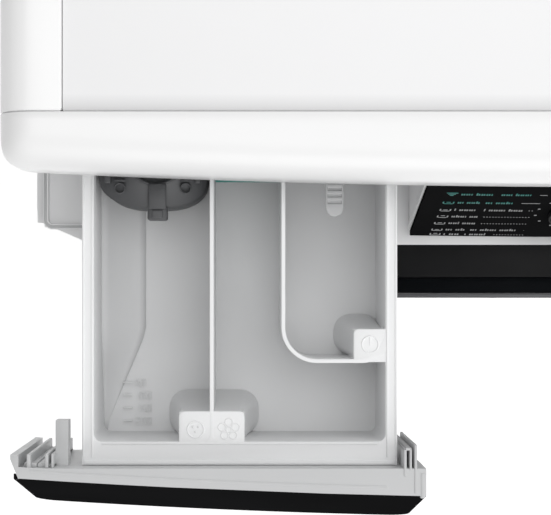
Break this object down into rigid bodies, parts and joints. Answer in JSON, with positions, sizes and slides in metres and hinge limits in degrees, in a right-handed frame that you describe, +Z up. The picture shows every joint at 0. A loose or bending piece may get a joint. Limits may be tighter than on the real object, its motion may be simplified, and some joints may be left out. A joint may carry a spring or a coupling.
{
  "type": "front load washing machine",
  "caption": "Free-standing front load washing machine with its detergent drawer pulled out, a round door, a control panel with a knob, and its tub, drum and drive inside.",
  "frame": {"origin": "on the floor under the middle of the machine with its drawer open as stored", "axes": "+X to the machine's right seen from the front, +Y to the back, +Z up"},
  "size_m": [0.6, 0.7208, 0.85],
  "materials": {
    "white_enamel": "satin white enamel",
    "white_plastic": "smooth white moulding",
    "light_grey_plastic": "fine moulded light grey",
    "drawer_plastic": "smooth pale moulding",
    "board_laminate": "white laminate",
    "black_gloss": "high gloss black",
    "black_satin": "satin black",
    "smoked_window": "smoked gloss",
    "steel_grey": "brushed",
    "trim_grey": "satin grey",
    "dark_grey_plastic": "moulded dark grey",
    "teal_plastic": "moulded teal",
    "galvanised": "galvanised",
    "tub_plastic": "filled moulding",
    "concrete": "cast concrete",
    "cast_alloy": "cast",
    "rubber_grey": "soft grey rubber",
    "rubber_black": "black rubber",
    "bowl_glass": "clear thick glass",
    "base_plastic": "moulded dark",
    "circuit_green": "coated board",
    "motor_paint": "motor housing"
  },
  "bodies": {
    "cabinet": {"worktop_board": "board_laminate", "worktop_front_trim": "white_plastic", "worktop_side_trims": "white_plastic", "side_panels": "white_enamel", "front_panel": "white_enamel", "rear_panel": "galvanised", "rear_cover": "galvanised", "base_tray": "base_plastic", "plinth_panel": "white_plastic", "top_brace": "galvanised", "fascia_housing": "light_grey_plastic", "fascia_lens": "black_gloss", "display_window": "smoked_window", "control_board": "circuit_green", "dispenser_housing": "tub_plastic", "inlet_valve": "tub_plastic", "cabinet_hoses": "rubber_black", "drain_pump": "tub_plastic", "door_lock": "white_plastic", "hinge_bracket": "galvanised", "hinge_pin": "steel_grey", "gasket": "rubber_grey", "tub_springs": "steel_grey", "damper_cylinders": "base_plastic", "rear_feet": "base_plastic"},
    "left_foot": {"foot_left": "base_plastic"},
    "right_foot": {"foot_right": "base_plastic"},
    "filter": {"filter_cap": "dark_grey_plastic"},
    "flap": {"filter_flap": "white_plastic"},
    "knob": {"program_knob": "black_satin"},
    "power": {"power_button": "black_satin"},
    "start": {"start_button": "black_satin"},
    "option": {"option_button": "black_satin"},
    "drawer": {"drawer_tray": "drawer_plastic", "drawer_front": "light_grey_plastic", "drawer_lens": "black_gloss"},
    "insert": {"liquid_insert": "dark_grey_plastic"},
    "siphon": {"siphon_cap": "teal_plastic"},
    "tongue": {"release_tongue": "light_grey_plastic"},
    "tub": {"tub_front": "tub_plastic", "tub_rear": "tub_plastic", "counterweights": "concrete", "motor": "motor_paint", "heater": "steel_grey", "bearings": "steel_grey", "drive_belt": "rubber_black", "damper_rods": "steel_grey", "tub_hoses": "rubber_black"},
    "drum": {"drum": "steel_grey", "drum_lifters": "tub_plastic", "drum_spider": "cast_alloy", "drum_pulley": "cast_alloy"},
    "rotor": {"motor_pulley": "steel_grey"},
    "door": {"door_frame": "black_satin", "door_cover": "smoked_window", "door_trim_ring": "trim_grey", "door_glass": "bowl_glass", "door_pins": "steel_grey"},
    "handle": {"door_handle": "black_satin"},
    "hook": {"latch_hook": "steel_grey"}
  },
  "joints": [
    {"name": "drawer_slide", "type": "slide", "parent": "cabinet", "child": "drawer", "axis": [0, 1, 0], "range_m": [0, 0.1565]},
    {"name": "insert_lift", "type": "slide", "parent": "drawer", "child": "insert", "axis": [0, 0, 1], "range_m": [0, 0.008]},
    {"name": "siphon_lift", "type": "slide", "parent": "drawer", "child": "siphon", "axis": [0, 0, 1], "range_m": [0, 0.006]},
    {"name": "tongue_flex", "type": "hinge", "parent": "drawer", "child": "tongue", "pos_m": [-0.1355, -0.10726, 0.779], "axis": [1, 0, 0], "range_deg": [0, 4], "stiffness_Nm_per_rad": 0.8, "springref_deg": -2.86},
    {"name": "knob_turn", "type": "hinge", "parent": "cabinet", "child": "knob", "pos_m": [0, -0.19259, 0.765], "axis": [0, -0.9675, 0.2529], "continuous": true},
    {"name": "power_press", "type": "slide", "parent": "cabinet", "child": "power", "axis": [0, 0.9675, -0.2529], "range_m": [0, 0.0015], "stiffness_N_per_m": 400, "springref_m": -0.0005},
    {"name": "start_press", "type": "slide", "parent": "cabinet", "child": "start", "axis": [0, 0.9675, -0.2529], "range_m": [0, 0.0015], "stiffness_N_per_m": 400, "springref_m": -0.0005},
    {"name": "option_press", "type": "slide", "parent": "cabinet", "child": "option", "axis": [0, 0.9675, -0.2529], "range_m": [0, 0.0015], "stiffness_N_per_m": 400, "springref_m": -0.0005},
    {"name": "door_swing", "type": "hinge", "parent": "cabinet", "child": "door", "pos_m": [-0.236, -0.21855, 0.465], "axis": [0, 0, -1], "range_deg": [0, 160]},
    {"name": "handle_pull", "type": "hinge", "parent": "door", "child": "handle", "pos_m": [0.187, -0.22956, 0.465], "axis": [0, 0, -1], "range_deg": [0, 14], "stiffness_Nm_per_rad": 1.2, "springref_deg": -5.73},
    {"name": "hook_turn", "type": "hinge", "parent": "door", "child": "hook", "pos_m": [0.203, -0.20156, 0.465], "axis": [0, 0, 1], "range_deg": [0, 7]},
    {"name": "tub_float", "type": "slide", "parent": "cabinet", "child": "tub", "axis": [0, 0, 1], "range_m": [-0.006, 0.006], "stiffness_N_per_m": 40000, "deforming": ["tub_springs", "gasket", "tub_hoses"]},
    {"name": "drum_spin", "type": "hinge", "parent": "tub", "child": "drum", "pos_m": [0, 0.24744, 0.465], "axis": [0, 1, 0], "continuous": true},
    {"name": "motor_spin", "type": "hinge", "parent": "tub", "child": "rotor", "pos_m": [0, 0.24744, 0.131], "axis": [0, 1, 0], "continuous": true},
    {"name": "filter_turn", "type": "hinge", "parent": "cabinet", "child": "filter", "pos_m": [0.21, -0.18455, 0.064], "axis": [0, -1, 0], "range_deg": [-120, 0]},
    {"name": "flap_open", "type": "hinge", "parent": "cabinet", "child": "flap", "pos_m": [0.21, -0.18956, 0.037], "axis": [1, 0, 0], "range_deg": [0, 88]},
    {"name": "left_foot_level", "type": "slide", "parent": "cabinet", "child": "left_foot", "axis": [0, 0, 1], "range_m": [-0.012, 0.003]},
    {"name": "right_foot_level", "type": "slide", "parent": "cabinet", "child": "right_foot", "axis": [0, 0, 1], "range_m": [-0.012, 0.003]}
  ],
  "couplings": [
    {"joint": "motor_spin", "follows": "drum_spin", "ratio": 12.727},
    {"joint": "hook_turn", "follows": "handle_pull", "ratio": 0.5}
  ]
}
